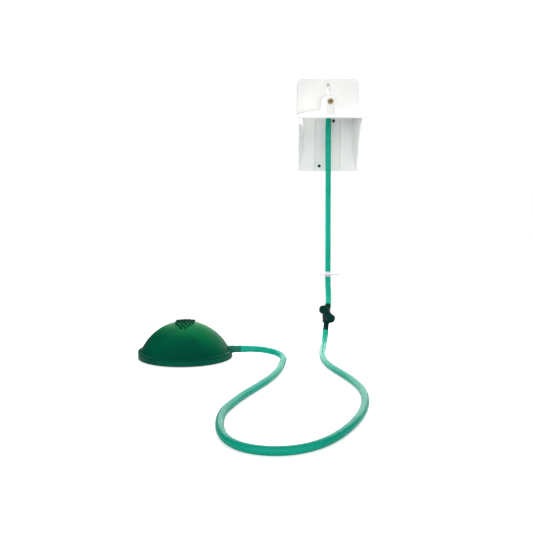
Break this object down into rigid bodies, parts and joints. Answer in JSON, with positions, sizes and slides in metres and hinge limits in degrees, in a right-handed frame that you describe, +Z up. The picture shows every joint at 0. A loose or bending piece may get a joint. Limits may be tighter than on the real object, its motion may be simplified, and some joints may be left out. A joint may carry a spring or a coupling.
{
  "type": "eyewash station",
  "caption": "Wall-hung eyewash: a white bracket with a water inlet, a green hose with a stopcock and sliding stop disc, and a domed spray head.",
  "frame": {"origin": "centre of the bracket's flat back face, where it meets the wall", "axes": "+Y into the wall, +Z up, +X to the right of someone who faces the wall; the floor is 0.45 m below the origin"},
  "size_m": [0.45, 0.8381, 0.548],
  "materials": {
    "bracket_white": "satin white moulded ABS",
    "screw_steel": "zinc plated",
    "screw_black": "black finish",
    "brass": "dull machined brass",
    "seal_rubber": "black rubber",
    "fitting_white": "white moulded",
    "hose_green": "translucent green flexible PVC",
    "disc_white": "white semi-translucent polyethylene",
    "valve_green": "dark green moulded",
    "dome_green": "translucent dark green moulded",
    "nozzle_rubber": "dark green silicone"
  },
  "bodies": {
    "station": {"wall_bracket": "bracket_white", "hanger_screw": "screw_steel", "wall_screws": "screw_black", "inlet_bushing": "brass", "strainer_screen": "brass", "inlet_seal": "seal_rubber", "flow_control_disc": "seal_rubber", "outlet_fitting": "fitting_white", "outlet_seal": "seal_rubber", "hose_clip": "screw_steel", "supply_hose": "hose_green", "valve_body": "valve_green", "head_hose": "hose_green"},
    "valve_key": {"valve_plug": "valve_green", "valve_handle": "valve_green", "plug_seals": "seal_rubber", "plug_clip": "screw_steel"},
    "stop_disc": {"hose_stop_disc": "disc_white"},
    "spray_head": {"dome_shell": "dome_green", "spray_nozzles": "nozzle_rubber", "nozzle_retainer": "valve_green", "base_ring": "dome_green", "base_plate": "valve_green", "base_gasket": "seal_rubber", "base_screws": "screw_steel", "rubber_feet": "seal_rubber", "head_inlet_stub": "valve_green", "stub_gasket": "seal_rubber", "stub_nut": "valve_green"}
  },
  "joints": [
    {"name": "key_turn", "type": "hinge", "parent": "station", "child": "valve_key", "pos_m": [-0.00648, -0.1074, -0.40112], "axis": [0, -0.6416, 0.7671], "range_deg": [-35, 55]},
    {"name": "disc_slide", "type": "slide", "parent": "station", "child": "stop_disc", "axis": [0.0008, 0.0836, 0.9965], "range_m": [0, 0.18]},
    {"name": "head_lift", "type": "slide", "parent": "station", "child": "spray_head", "axis": [0, 0, 1], "range_m": [0, 0.06]}
  ]
}
